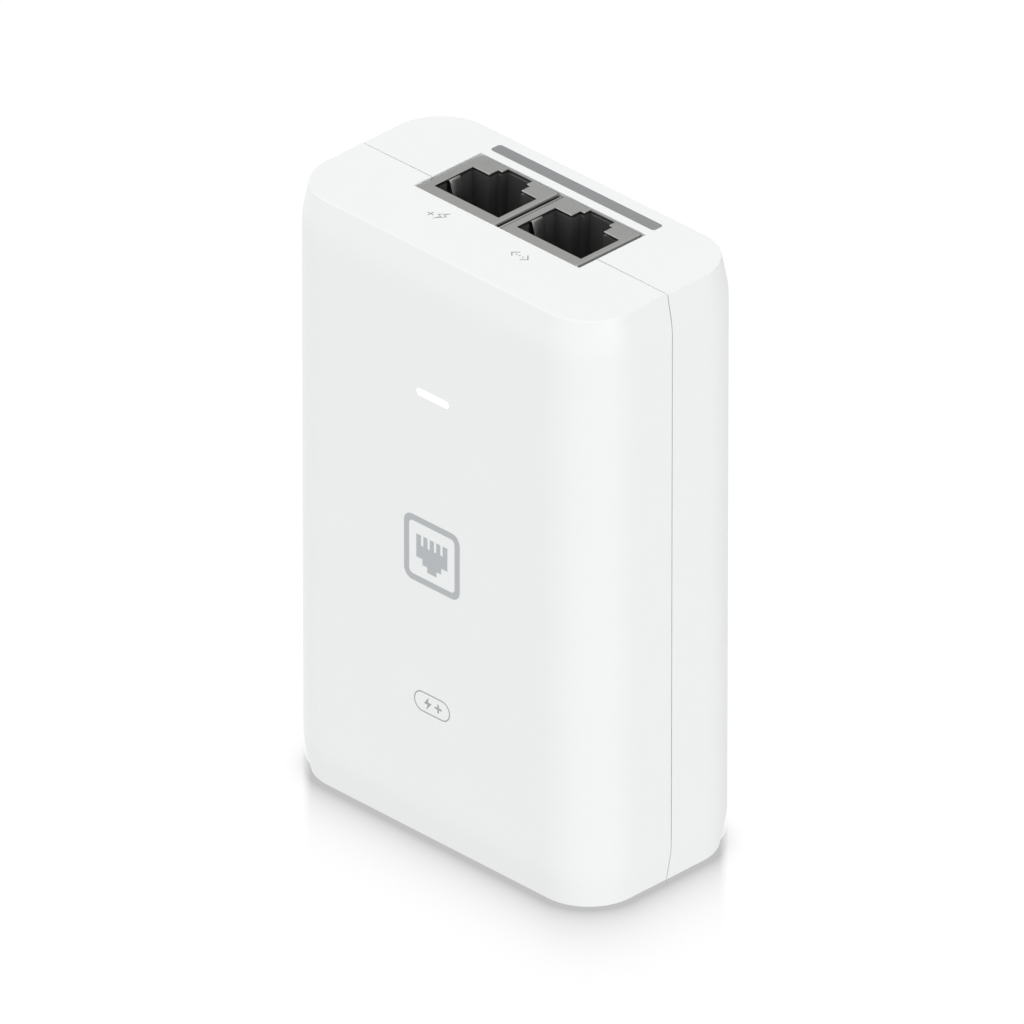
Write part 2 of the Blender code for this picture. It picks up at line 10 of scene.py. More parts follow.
import bmesh
import bpy
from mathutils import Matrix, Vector

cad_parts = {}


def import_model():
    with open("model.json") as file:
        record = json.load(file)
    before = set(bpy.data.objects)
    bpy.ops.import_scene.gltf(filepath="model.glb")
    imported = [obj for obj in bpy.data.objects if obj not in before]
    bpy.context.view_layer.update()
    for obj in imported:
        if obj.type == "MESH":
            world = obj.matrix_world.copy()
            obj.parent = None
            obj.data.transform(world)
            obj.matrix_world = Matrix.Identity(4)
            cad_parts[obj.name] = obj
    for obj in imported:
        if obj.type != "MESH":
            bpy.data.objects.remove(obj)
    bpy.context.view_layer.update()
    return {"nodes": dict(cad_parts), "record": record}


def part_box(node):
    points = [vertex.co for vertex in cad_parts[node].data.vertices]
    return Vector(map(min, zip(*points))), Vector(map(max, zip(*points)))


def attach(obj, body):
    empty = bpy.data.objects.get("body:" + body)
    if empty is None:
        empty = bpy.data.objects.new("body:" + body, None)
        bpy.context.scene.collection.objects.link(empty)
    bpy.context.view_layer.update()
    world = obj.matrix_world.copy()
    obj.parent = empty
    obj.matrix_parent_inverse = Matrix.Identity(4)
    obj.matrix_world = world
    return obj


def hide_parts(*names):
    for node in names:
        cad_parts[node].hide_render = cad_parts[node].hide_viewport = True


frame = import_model()

MM = 0.001


def box_mm(*nodes):
    """The lowest and highest corners of some CAD nodes together, in millimetres."""
    corners = [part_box(node) for node in nodes]
    low = Vector([min(c[0][i] for c in corners) for i in range(3)]) / MM
    high = Vector([max(c[1][i] for c in corners) for i in range(3)]) / MM
    return low, high


# The prints stand proud of the case, so it is smaller than its CAD shells by their thickness.
INK_THICK = 0.012
INK_SINK = 0.05
CASE_LOW, CASE_HIGH = box_mm("front_shell", "rear_shell")
WIDTH, DEPTH, HEIGHT = CASE_HIGH - CASE_LOW - Vector((0.0, 2 * INK_THICK, INK_THICK))
FRONT_Y = -DEPTH / 2

# Form of the case, as the CAD shells have it
CORNER = 8.55
CORNER_STEPS = 20
WALL = 2.0
END_INSET = 0.93
END_SLOPE = 0.195
END_STRAIGHT = 3.3
BLEND_STEPS = 8
EDGE_RADIUS = 0.12
EDGE_STEPS = 4
SEAM = 0.13
SEAM_ROUND = 0.07
LIP_INSET = 1.2
LIP_HEIGHT = 1.2
LIP_GAP = 0.25
POST_X = 22.5
POST_HEIGHTS = (9.0, 64.2)
POST_RADIUS = 2.2
POST_ROOT = 0.5
POST_END = {-1: 8.9, 1: 11.1}
INLET_HALF = (10.05, 8.05)
INLET_CORNER = 1.8
INLET_ROUND = 0.2

# Status light: (x, z) of its middle, and its size
LIGHT_CENTRE = (0.12, 68.16)
LIGHT_LENGTH = 5.9
LIGHT_HEIGHT = 1.03
WINDOW_GAP = 0.03
WINDOW_ROUND = 0.03
WINDOW_REACH = (4.0, 1.0)
LENS_PROUD = 0.02
LENS_THICK = 2.0
LENS_ROUND = 0.06

# Cut-out for the ports, with a ledge along its left edge
CUTOUT_X = (-15.5, 15.2)
CUTOUT_Y = (-3.22, 9.14)
CUTOUT_ROUND = 0.13
LEDGE_X = -15.15
LEDGE_DEPTH = 0.55

# Opening for a plug: the body, and the latch's slot as steps of (half width, rear edge)
PLUG_HALF = 5.98
PLUG_FRONT = -1.37
PLUG_REAR = 5.86
LATCH_STEPS = ((3.0, 7.57), (2.28, 8.62))

# Port shields: trim is what each is narrower by at its left and right, and folds how far the top
# edges turn in at the left, right, front and rear
SHEET = 0.22
SHIELD_TRIM = {"left": (0.16, 0.44), "right": (0.26, 0.44)}
SHIELD_RAISE = 0.04
SHIELD_CORNER = 0.15
FOLDS = (0.06, 0.42, 0.08, 0.08)
FOLD_DEEP = 0.35
FOLD_STEPS = 6
RIM = 0.11
DIVIDER_X = (-0.25, 0.08)
DIVIDER_SHORT = (0.15, 0.25)
DIVIDER_LOW = 1.0
DIVIDER_DROP = 0.20
DIVIDER_ROUND = 0.05

# Ground springs: (x from the port's middle, depth) along the strip
SPRING_PATH = (
    (6.16, 0.50), (6.10, 0.36), (6.00, 0.29), (5.90, 0.28), (5.81, 0.33), (5.75, 0.44),
    (5.70, 0.62), (5.20, 2.50), (5.12, 2.95), (5.10, 3.35), (5.15, 3.75), (5.50, 5.20),
)
SPRING_THICK = 0.16
SPRING_ROUND = 0.045

# Prints: (x, y) on the top and (x, z) on the front
STRIP_HALF = (15.25, 0.95)
STRIP_CORNER = 0.5
STRIP_CENTRE = (0.0, 11.45)
ICON_PLUS = ((-8.65, -7.03), 1.07, 0.16)
ICON_BOLT = (
    (-6.53, -6.23), (-7.07, -6.11), (-6.81, -5.40), (-7.85, -6.42), (-7.17, -6.62), (-7.47, -7.45),
)
BOLT_LINE = 0.13
ARROWS = (
    ((6.73, -7.28), (6.12, -6.67), (6.90, -5.88)),
    ((8.22, -5.78), (9.01, -6.57), (8.25, -7.34)),
)
ARROW_LINE = 0.17
DOTS = ((6.95, -6.60), (7.48, -6.57), (8.08, -6.60))
DOT_RADIUS = 0.13
MARK_CENTRE = (0.0, 44.1)
MARK_OUTER = ((5.2, 5.0), 1.5, 10)
MARK_INNER = ((4.25, 4.05), 0.7, 8)
JACK_LEFT = ((-2.9, 2.3), (-2.9, -1.2), (-1.75, -1.2), (-1.75, -2.1), (-0.85, -2.1), (-0.85, -2.9))
JACK_SLOTS = (-1.8, -0.6, 0.6, 1.8)
JACK_SLOT_HALF = 0.22
JACK_SLOT_Z = (0.75, 3.3)
BADGE_CENTRE = (0.0, 21.2)
BADGE_SIZE = (6.74, 3.09)
BADGE_LINE = 0.36
BADGE_BOLT = ((0.15, 1.0), (-0.75, -0.15), (-0.1, -0.15), (-0.3, -1.0), (0.65, 0.2), (0.0, 0.2))
BADGE_BOLT_X = -0.75
BADGE_PLUS = ((1.15, 21.2), 1.3, 0.28)

# Making of the shapes: levels this close are one level, cutting shapes reach this far past what
# they cut, and an edge folded by more than this angle is sharp
TOUCH = 1e-3
PAST = 1.0
SHARP = 1.0


# ------------------------------------------------------------------ outlines

def arc(centre, radius, start, end, steps):
    angles = [math.radians(start + (end - start) * i / steps) for i in range(steps + 1)]
    return [(centre[0] + radius * math.cos(a), centre[1] + radius * math.sin(a)) for a in angles]


def disc(centre, radius, steps=32):
    return arc(centre, radius, 0, 360, steps)[:-1]


def rectangle(low, high):
    return [(low[0], low[1]), (high[0], low[1]), (high[0], high[1]), (low[0], high[1])]


def rounded_rectangle(half, corner, steps=8, centre=(0.0, 0.0)):
    points = []
    for quarter, (side_x, side_y) in enumerate(((1, 1), (-1, 1), (-1, -1), (1, -1))):
        middle = (centre[0] + side_x * (half[0] - corner), centre[1] + side_y * (half[1] - corner))
        points += arc(middle, corner, 90 * quarter, 90 * quarter + 90, steps)
    return points


def stadium(length, height, centre):
    """A pill shape. Its ends fall just short of half circles, so that no two points meet."""
    return rounded_rectangle((length / 2, height / 2), height / 2 - 1e-4, 16, centre)


def plus_sign(centre, span, width):
    across = span / 2
    half = width / 2
    points = []
    for turn in range(4):
        for x, y in ((half, half), (half, across), (-half, across)):
            for _ in range(turn):
                x, y = -y, x
            points.append((centre[0] + x, centre[1] + y))
    return points


def stroke(path, width):
    """The outline of a line of even width along an open path, with mitred bends."""
    points = [Vector(p) for p in path]
    runs = [(b - a).normalized() for a, b in zip(points, points[1:])]
    near, far = [], []
    for point, run_in, run_out in zip(points, [runs[0]] + runs, runs + [runs[-1]]):
        across = Vector((-run_in.y - run_out.y, run_in.x + run_out.x)).normalized()
        reach = width / 2 / across.dot(Vector((-run_in.y, run_in.x)))
        near.append(tuple(point + across * reach))
        far.append(tuple(point - across * reach))
    return near + far[::-1]


def offset(outline, distance):
    """A closed anticlockwise outline moved out by an even distance, with mitred corners."""
    points = [Vector(p) for p in outline]
    result = []
    for before, point, after in zip(points[-1:] + points, points, points[1:] + points[:1]):
        run_in, run_out = (point - before).normalized(), (after - point).normalized()
        across = Vector((run_in.y + run_out.y, -run_in.x - run_out.x)).normalized()
        reach = across.dot(Vector((run_in.y, -run_in.x)))
        result.append(tuple(point + across * distance / reach))
    return result


def moved(outline, centre):
    return [(centre[0] + x, centre[1] + y) for x, y in outline]


def mirrored(right):
    """A closed outline from its right half."""
    return right + [(-x, y) for x, y in reversed(right)]


# ------------------------------------------------------------------ meshes

def loft(rings):
    """A closed solid through rings of equally many points, with flat ends."""
    bm = bmesh.new()
    rows = [[bm.verts.new(p) for p in ring] for ring in rings]
    count = len(rows[0])
    for lower, upper in zip(rows, rows[1:]):
        for i in range(count):
            j = (i + 1) % count
            bm.faces.new((lower[i], lower[j], upper[j], upper[i]))
    bm.faces.new(rows[0][::-1])
    bm.faces.new(rows[-1])
    bmesh.ops.recalc_face_normals(bm, faces=bm.faces)
    return bm


def prism(outline, axis, low, high):
    """An outline pushed along an axis, from low to high."""
    place = {
        "Y": lambda p, t: (p[0], t, p[1]),
        "Z": lambda p, t: (p[0], p[1], t),
    }[axis]
    return loft([[place(p, t) for p in outline] for t in (low, high)])


def block(low, high):
    return prism(rectangle(low[:2], high[:2]), "Z", low[2], high[2])


def loose(bm):
    """A temporary object for a Boolean."""
    mesh = bpy.data.meshes.new("loose")
    bm.to_mesh(mesh)
    bm.free()
    obj = bpy.data.objects.new("loose", mesh)
    bpy.context.scene.collection.objects.link(obj)
    return obj


def carved(bm, steps):
    """bm after each Boolean step, given as (operation, mesh)."""
    base = loose(bm)
    helpers = []
    for operation, tool in steps:
        helper = loose(tool)
        modifier = base.modifiers.new(operation, "BOOLEAN")
        modifier.operation = operation
        modifier.solver = "EXACT"
        modifier.object = helper
        helpers.append(helper)
    bpy.context.view_layer.update()
    evaluated = base.evaluated_get(bpy.context.evaluated_depsgraph_get())
    result = bmesh.new()
    result.from_mesh(evaluated.to_mesh())
    evaluated.to_mesh_clear()
    for obj in [base] + helpers:
        mesh = obj.data
        bpy.data.objects.remove(obj)
        bpy.data.meshes.remove(mesh)
    return result


def fold_angle(edge):
    return edge.link_faces[0].normal.angle(edge.link_faces[1].normal, 0.0)


def is_sharp(edge):
    return fold_angle(edge) > SHARP


def round_edges(bm, wanted, width, steps=3):
    """Rounds the edges for which wanted(edge) is true, and returns the new faces."""
    bm.normal_update()
    chosen = [edge for edge in bm.edges if len(edge.link_faces) == 2 and wanted(edge)]
    made = bmesh.ops.bevel(
        bm, geom=chosen, offset=width, segments=steps, profile=0.5, affect="EDGES",
        clamp_overlap=False,
    )
    return made["faces"]


def piece(name, bm, material, body="casing", replaces=(), smooth=35):
    """Puts a finished mesh into the scene, on its body."""
    bmesh.ops.scale(bm, vec=(MM, MM, MM), verts=bm.verts)
    mesh = bpy.data.meshes.new(name)
    bm.to_mesh(mesh)
    bm.free()
    mesh.shade_smooth()
    mesh.set_sharp_from_angle(angle=math.radians(smooth))
    mesh.materials.append(material)
    obj = bpy.data.objects.new(name, mesh)
    bpy.context.scene.collection.objects.link(obj)
    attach(obj, body)
    if replaces:
        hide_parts(*replaces)
    return obj


def even_normals(obj):
    """Keeps large flat faces flat beside their rounded edges."""
    modifier = obj.modifiers.new("even_normals", "WEIGHTED_NORMAL")
    modifier.keep_sharp = True
    modifier.weight = 80


# ------------------------------------------------------------------ materials

# The part of a noise's range that carries its pattern
NOISE_LOW = 0.3
NOISE_HIGH = 0.7

# Sizes of the patterns, in waves per metre
CLOUDS = 90.0
GLOSS_PATCHES = 400.0
ROLLED_LINES = 900.0
LUSTRE = 500.0
INK_MOTTLE = 5000.0
INK_GLOSS = 900.0
GLOW_PATCHES = 300.0

BLACKEST = (0.0, 0.0, 0.0, 1.0)
WHITEST = (1.0, 1.0, 1.0, 1.0)


def new_material(name):
    material = bpy.data.materials.new(name)
    material.use_nodes = True
    tree = material.node_tree
    return material, tree, tree.nodes["Principled BSDF"]


def link(tree, source, target):
    tree.links.new(source, target)


def surface_point(tree):
    return tree.nodes.new("ShaderNodeTexCoord").outputs["Object"]


def noise(tree, point, scale, detail=2.0, roughness=0.5):
    node = tree.nodes.new("ShaderNodeTexNoise")
    node.inputs["Scale"].default_value = scale
    node.inputs["Detail"].default_value = detail
    node.inputs["Roughness"].default_value = roughness
    link(tree, point, node.inputs["Vector"])
    return node.outputs["Fac"]


def ramp(tree, factor, low, high):
    """A value that runs with a noise from low to high."""
    node = tree.nodes.new("ShaderNodeMapRange")
    node.inputs["From Min"].default_value = NOISE_LOW
    node.inputs["From Max"].default_value = NOISE_HIGH
    node.inputs["To Min"].default_value = low
    node.inputs["To Max"].default_value = high
    link(tree, factor, node.inputs["Value"])
    return node.outputs["Result"]


def blend(tree, factor, low, high):
    """A colour that runs with a noise from low to high."""
    node = tree.nodes.new("ShaderNodeMix")
    node.data_type = "RGBA"
    node.inputs["A"].default_value = (*low, 1.0)
    node.inputs["B"].default_value = (*high, 1.0)
    link(tree, factor, node.inputs["Factor"])
    return node.outputs["Result"]


def bump(tree, shader, height, distance):
    node = tree.nodes.new("ShaderNodeBump")
    node.inputs["Distance"].default_value = distance
    node.inputs["Strength"].default_value = 1.0
    link(tree, height, node.inputs["Height"])
    link(tree, node.outputs["Normal"], shader.inputs["Normal"])


def shade(colour, share):
    return tuple(c * share for c in colour)


def moulded(name, colour, roughness, grain=6000.0, depth=0.000004, spread=0.015):
    """Moulded plastic: a fine spark-eroded grain, slight cloudiness and uneven gloss."""
    material, tree, shader = new_material(name)
    point = surface_point(tree)
    cloud = noise(tree, point, CLOUDS, detail=3.0)
    link(tree, blend(tree, cloud, shade(colour, 1 - spread), colour), shader.inputs["Base Color"])
    patches = noise(tree, point, GLOSS_PATCHES, detail=4.0)
    gloss = ramp(tree, patches, roughness - 0.03, roughness + 0.03)
    link(tree, gloss, shader.inputs["Roughness"])
    bump(tree, shader, noise(tree, point, grain), depth)
    return material


def sheet_metal(name, colour, roughness, along=(1.0, 12.0, 12.0), depth=0.000003):
    """Rolled sheet: fine lines along the rolling direction and a soft, uneven lustre."""
    material, tree, shader = new_material(name)
    shader.inputs["Metallic"].default_value = 1.0
    point = surface_point(tree)
    stretch = tree.nodes.new("ShaderNodeMapping")
    stretch.inputs["Scale"].default_value = along
    link(tree, point, stretch.inputs["Vector"])
    lines = noise(tree, stretch.outputs["Vector"], ROLLED_LINES, detail=4.0, roughness=0.6)
    link(tree, blend(tree, lines, shade(colour, 0.96), colour), shader.inputs["Base Color"])
    lustre = noise(tree, point, LUSTRE, detail=3.0)
    gloss = ramp(tree, lustre, roughness - 0.05, roughness + 0.06)
    link(tree, gloss, shader.inputs["Roughness"])
    bump(tree, shader, lines, depth)
    return material


def ink(name, colour):
    """Pad-printed ink: flat, with a faint mottle and slightly uneven gloss."""
    material, tree, shader = new_material(name)
    point = surface_point(tree)
    mottle = noise(tree, point, INK_MOTTLE)
    link(tree, blend(tree, mottle, shade(colour, 0.96), colour), shader.inputs["Base Color"])
    gloss = ramp(tree, noise(tree, point, INK_GLOSS), 0.42, 0.55)
    link(tree, gloss, shader.inputs["Roughness"])
    return material


WHITE = moulded("white_plastic", (0.80, 0.812, 0.812), 0.40)
BLACK = moulded(
    "black_plastic", (0.069, 0.069, 0.069), 0.42, grain=9000.0, depth=0.000003, spread=0.2)
STEEL = sheet_metal("port_steel", (0.35, 0.35, 0.34), 0.30)
# A lighter steel for the shields' rounded rear rims: a painted highlight along the edges that face
# the front
STEEL_PAINTED_HIGHLIGHT = sheet_metal("steel_painted_highlight", (0.52, 0.53, 0.54), 0.42)
SPRING = sheet_metal("spring_steel", (0.38, 0.38, 0.375), 0.36, along=(12.0, 12.0, 1.0))
STRIP_INK = ink("strip_ink", (0.227, 0.234, 0.238))
ICON_INK = ink("icon_ink", (0.30, 0.30, 0.30))
MARK_INK = ink("mark_ink", (0.433, 0.453, 0.472))
BADGE_INK = ink("badge_ink", (0.33, 0.34, 0.35))


# ------------------------------------------------------------------ case

def end_levels():
    """(distance from an end, inset there), from the end's flat face to the full section."""
    left = END_INSET - END_SLOPE * END_STRAIGHT
    blend_length = 2 * left / END_SLOPE
    levels = []
    for step in range(EDGE_STEPS + 1):
        turn = math.radians(90 * step / EDGE_STEPS)
        drop = EDGE_RADIUS * (1 - math.sin(turn))
        rise = EDGE_RADIUS * (1 - math.cos(turn))
        levels.append((rise, END_INSET - END_SLOPE * rise + drop))
    for step in range(BLEND_STEPS + 1):
        share = step / BLEND_STEPS
        levels.append((END_STRAIGHT + blend_length * share, left * (1 - share) ** 2))
    return levels


def inset_at(distance):
    """The case's inset at a distance from an end."""
    levels = end_levels()
    for (low, inset_low), (high, inset_high) in zip(levels, levels[1:]):
        if low <= distance <= high:
            return inset_low + (inset_high - inset_low) * (distance - low) / (high - low)
    return 0.0


def half_ring(inset, cut_y, side, z):
    corner = CORNER - inset
    half_x = WIDTH / 2 - inset
    half_y = DEPTH / 2 - inset
    right = arc((half_x - corner, half_y - corner), corner, 0, 90, CORNER_STEPS)
    left = [(-x, y) for x, y in reversed(right)]
    points = [(half_x, side * cut_y)] + right + left + [(-half_x, side * cut_y)]
    return [(x, side * y, z) for x, y in points]


def half_case(depth, cut_y, side):
    """Half of the solid a depth inside the case's surface, as far as a flat face at cut_y."""
    if depth:
        inner = [depth] + [level for level, _ in end_levels() if level > depth]
        levels = [(level, inset_at(level) + depth) for level in inner]
    else:
        levels = end_levels()
    upper = [(HEIGHT - level, inset) for level, inset in reversed(levels)]
    return loft([half_ring(inset, cut_y, side, z) for z, inset in levels + upper])


def on_outside(point):
    """Whether a point at the seam lies on the outer face of the sides, the top or the base."""
    depth = min(point.z, HEIGHT - point.z)
    return depth <= 0.01 or abs(abs(point.x) - (WIDTH / 2 - inset_at(depth))) <= 0.02


def at_seam(edge, seam_y):
    """An edge between a shell's rim and its outer face."""
    if any(abs(vert.co.y - seam_y) > TOUCH for vert in edge.verts):
        return False
    rim = [face for face in edge.link_faces if abs(face.normal.y) > 0.99]
    outer = [face for face in edge.link_faces if abs(face.normal.y) < 0.3]
    if len(rim) != 1 or len(outer) != 1:
        return False
    middle = (edge.verts[0].co + edge.verts[1].co) / 2 - Vector((0.0, seam_y, HEIGHT / 2))
    return outer[0].normal.dot(middle) > 0 and all(on_outside(vert.co) for vert in edge.verts)


def at_opening(edge, z, x_range, y_range):
    """An edge round an opening in the top or the base."""
    if any(abs(vert.co.z - z) > TOUCH for vert in edge.verts) or fold_angle(edge) < SHARP:
        return False
    near = 0.1
    return all(
        x_range[0] - near < vert.co.x < x_range[1] + near
        and y_range[0] - near < vert.co.y < y_range[1] + near
        for vert in edge.verts
    )


def at_window(edge):
    """An edge round the status light's window, on the front face."""
    for vert in edge.verts:
        across, up = abs(vert.co.x), abs(vert.co.z - LIGHT_CENTRE[1])
        if abs(vert.co.y - FRONT_Y) > TOUCH or up > WINDOW_REACH[1] or across > WINDOW_REACH[0]:
            return False
    return is_sharp(edge)


def seam_steps(side):
    """The Boolean steps that hollow a shell out and make its half of the lip."""
    if side > 0:
        return [
            ("DIFFERENCE", half_case(LIP_INSET - LIP_GAP, LIP_HEIGHT + LIP_GAP, -1)),
            ("DIFFERENCE", half_case(WALL, -PAST, 1)),
        ]
    window = stadium(LIGHT_LENGTH + 2 * WINDOW_GAP, LIGHT_HEIGHT + 2 * WINDOW_GAP, LIGHT_CENTRE)
    return [
        ("UNION", half_case(LIP_INSET, LIP_HEIGHT, -1)),
        ("DIFFERENCE", half_case(WALL, LIP_HEIGHT + PAST, -1)),
        ("DIFFERENCE", prism(window, "Y", FRONT_Y - PAST, FRONT_Y + WALL + PAST)),
    ]


def opening_steps():
    """The Boolean steps for the ports' cut-out, its ledge and the mains inlet."""
    right, rear = CUTOUT_X[1], CUTOUT_Y[1]
    upper = block((CUTOUT_X[0], CUTOUT_Y[0], HEIGHT - LEDGE_DEPTH), (right, rear, HEIGHT + PAST))
    lower = block(
        (LEDGE_X, CUTOUT_Y[0], HEIGHT - WALL - PAST), (right, rear, HEIGHT - LEDGE_DEPTH / 2))
    inlet = prism(rounded_rectangle(INLET_HALF, INLET_CORNER), "Z", -PAST, WALL + PAST)
    return [("DIFFERENCE", upper), ("DIFFERENCE", lower), ("DIFFERENCE", inlet)]


def post_steps(side):
    """The Boolean steps for the posts that hold the board."""
    ends = sorted((side * (DEPTH / 2 - WALL + POST_ROOT), POST_END[side]))
    return [
        ("UNION", prism(disc((x, z), POST_RADIUS), "Y", *ends))
        for x in (-POST_X, POST_X) for z in POST_HEIGHTS
    ]


def shell(name, side):
    """The front shell (side -1) or the rear shell (side 1)."""
    seam_y = side * SEAM / 2
    inlet_x, inlet_y = [(-half, half) for half in INLET_HALF]
    steps = seam_steps(side) + opening_steps() + post_steps(side)
    bm = carved(half_case(0.0, seam_y, side), steps)
    round_edges(bm, lambda edge: at_seam(edge, seam_y), SEAM_ROUND)
    round_edges(bm, lambda edge: at_opening(edge, HEIGHT, CUTOUT_X, CUTOUT_Y), CUTOUT_ROUND)
    round_edges(bm, lambda edge: at_opening(edge, 0.0, inlet_x, inlet_y), INLET_ROUND)
    if side < 0:
        round_edges(bm, at_window, WINDOW_ROUND)
    even_normals(piece(name + "_skin", bm, WHITE, replaces=[name]))


shell("front_shell", -1)
shell("rear_shell", 1)


# ------------------------------------------------------------------ ports

def plug_outline(centre_x):
    """The opening for a plug, with the latch's stepped slot at its rear."""
    right = [(PLUG_HALF, PLUG_FRONT), (PLUG_HALF, PLUG_REAR)]
    level = PLUG_REAR
    for half, rear in LATCH_STEPS:
        right += [(half, level), (half, rear)]
        level = rear
    return moved(mirrored(right), (centre_x, 0.0))


def folded_box(low, high):
    """A box whose top edges turn down, each side by its own width in FOLDS."""
    levels = [(low[2], 0.0)]
    for step in range(FOLD_STEPS + 1):
        turn = math.radians(90 * step / FOLD_STEPS)
        levels.append((high[2] - FOLD_DEEP * (1 - math.sin(turn)), 1 - math.cos(turn)))
    rings = []
    for z, share in levels:
        left, right, front, rear = [fold * share for fold in FOLDS]
        x_range = (low[0] + left, high[0] - right)
        y_range = (low[1] + front, high[1] - rear)
        half = ((x_range[1] - x_range[0]) / 2, (y_range[1] - y_range[0]) / 2)
        centre = (sum(x_range) / 2, sum(y_range) / 2)
        rings.append([(x, y, z) for x, y in rounded_rectangle(half, SHIELD_CORNER, 4, centre)])
    return loft(rings)


def port_shield(side):
    name = "port_" + side + "_shield"
    low, high = box_mm(name)
    opening = plug_outline((low.x + high.x) / 2)
    low.x += SHIELD_TRIM[side][0]
    high.x -= SHIELD_TRIM[side][1]
    high.z += SHIELD_RAISE
    inner = block(low + Vector((SHEET, SHEET, -PAST)), high - Vector((SHEET, SHEET, SHEET)))
    bm = carved(folded_box(low, high), [
        ("DIFFERENCE", inner),
        ("DIFFERENCE", prism(opening, "Z", high.z - PAST, high.z + PAST)),
    ])

    def at_rear_rim(edge):
        """A lengthwise edge of the opening's rear half, on the upper face."""
        start, end = [vert.co for vert in edge.verts]
        on_top = all(abs(point.z - high.z) < TOUCH for point in (start, end))
        return on_top and is_sharp(edge) and abs(start.y - end.y) < TOUCH and start.y > 1.0

    # Only the rear rim is rounded, and it takes the lighter steel as a painted highlight
    for face in round_edges(bm, at_rear_rim, RIM):
        face.material_index = 1
    obj = piece(name + "_skin", bm, STEEL, replaces=[name])
    obj.data.materials.append(STEEL_PAINTED_HIGHLIGHT)
    even_normals(obj)


def port_divider():
    """The folded strip that stands between the two shields."""
    low, high = box_mm("port_left_shield")
    front, rear = CUTOUT_Y[0] + DIVIDER_SHORT[0], CUTOUT_Y[1] - DIVIDER_SHORT[1]
    bm = block(
        (DIVIDER_X[0], front, low.z + DIVIDER_LOW), (DIVIDER_X[1], rear, high.z - DIVIDER_DROP))
    round_edges(bm, is_sharp, DIVIDER_ROUND, 2)
    piece("port_divider", bm, STEEL)


def ground_spring(side, place, sign):
    """A sprung grounding finger, on the port's left (sign -1) or right."""
    name = "port_" + side + "_ground_spring_" + place
    low, high = box_mm(name)
    shield_low, shield_high = box_mm("port_" + side + "_shield")
    centre = (shield_low.x + shield_high.x) / 2
    face = shield_high.z + SHIELD_RAISE
    path = [(centre + sign * x, face - depth) for x, depth in SPRING_PATH]
    bm = prism(stroke(path, SPRING_THICK), "Y", low.y, high.y)
    round_edges(bm, is_sharp, SPRING_ROUND, 2)
    piece(name + "_strip", bm, SPRING, side + "_" + place + "_spring", [name], 50)


port_divider()
for port_side, outward in (("left", -1), ("right", 1)):
    port_shield(port_side)
    ground_spring(port_side, "inner", -outward)
    ground_spring(port_side, "outer", outward)


# ------------------------------------------------------------------ the rest of the CAD nodes

SLOT_OF = {part["node"]: part["material_slot"] for part in frame["record"]["subparts"]}
SLOT_MATERIALS = {
    "black_plastic": BLACK,
    "contact_gold": sheet_metal("contact_gold", (0.86, 0.62, 0.24), 0.2),
    "light_pipe": moulded("milky_plastic", (0.85, 0.87, 0.9), 0.2),
    "lamp": moulded("lamp_body", (0.9, 0.86, 0.6), 0.3),
    "pin_nickel": sheet_metal("pin_nickel", (0.68, 0.66, 0.62), 0.2),
    "board_green": moulded("board_green", (0.02, 0.13, 0.05), 0.35),
    "chip_black": moulded("chip_black", (0.03, 0.03, 0.032), 0.55),
    "can_sleeve": moulded("can_sleeve", (0.04, 0.05, 0.08), 0.3),
    "ferrite": moulded("ferrite", (0.06, 0.06, 0.065), 0.7),
    "copper_wire": moulded("copper_wire", (0.55, 0.22, 0.08), 0.3),
    "winding_tape": moulded("winding_tape", (0.80, 0.60, 0.10), 0.35),
    "coated_blue": moulded("coated_blue", (0.05, 0.18, 0.5), 0.35),
    "capacitor_yellow": moulded("capacitor_yellow", (0.75, 0.56, 0.08), 0.4),
    "heatsink_aluminium": sheet_metal("heatsink_aluminium", (0.75, 0.76, 0.77), 0.35),
    "insulation": moulded("insulation", (0.86, 0.84, 0.78), 0.3),
}
EDGE_WIDTHS = {
    "black_plastic": 0.15,
    "contact_gold": 0.08,
    "chip_black": 0.2,
    "coated_blue": 0.4,
    "capacitor_yellow": 0.4,
    "ferrite": 0.3,
    "winding_tape": 0.2,
    "heatsink_aluminium": 0.15,
}


def soften(obj, width):
    """Rounds a CAD node's sharp edges a little."""
    edges = obj.modifiers.new("soft_edges", "BEVEL")
    edges.width = width * MM / obj.matrix_world.to_scale().x
    edges.segments = 2
    edges.limit_method = "ANGLE"
    edges.angle_limit = math.radians(40)


for node, obj in frame["nodes"].items():
    slot = SLOT_OF[node]
    if slot in SLOT_MATERIALS and not obj.hide_render:
        obj.data.materials.clear()
        obj.data.materials.append(SLOT_MATERIALS[slot])
        if slot in EDGE_WIDTHS:
            soften(obj, EDGE_WIDTHS[slot])


# ------------------------------------------------------------------ light window

def status_light():
    """The lit lens that fills the window, just in front of the CAD light pipe."""
    material, tree, shader = new_material("lit_window")
    glow = noise(tree, surface_point(tree), GLOW_PATCHES)
    tint = blend(tree, glow, (0.93, 0.95, 0.97), (1.0, 1.0, 1.0))
    link(tree, tint, shader.inputs["Base Color"])
    shader.inputs["Roughness"].default_value = 0.3
    shader.inputs["Emission Color"].default_value = WHITEST
    shader.inputs["Emission Strength"].default_value = 0.5
    front = box_mm("status_light_pipe")[0].y - LENS_PROUD
    outline = stadium(LIGHT_LENGTH, LIGHT_HEIGHT, LIGHT_CENTRE)
    bm = prism(outline, "Y", front, front + LENS_THICK)
    round_edges(
        bm, lambda edge: all(abs(vert.co.y - front) < TOUCH for vert in edge.verts), LENS_ROUND)
    piece("status_window_lens", bm, material)


status_light()


# ------------------------------------------------------------------ prints

ON_TOP = ("Z", HEIGHT, 1)
ON_FRONT = ("Y", FRONT_Y, -1)


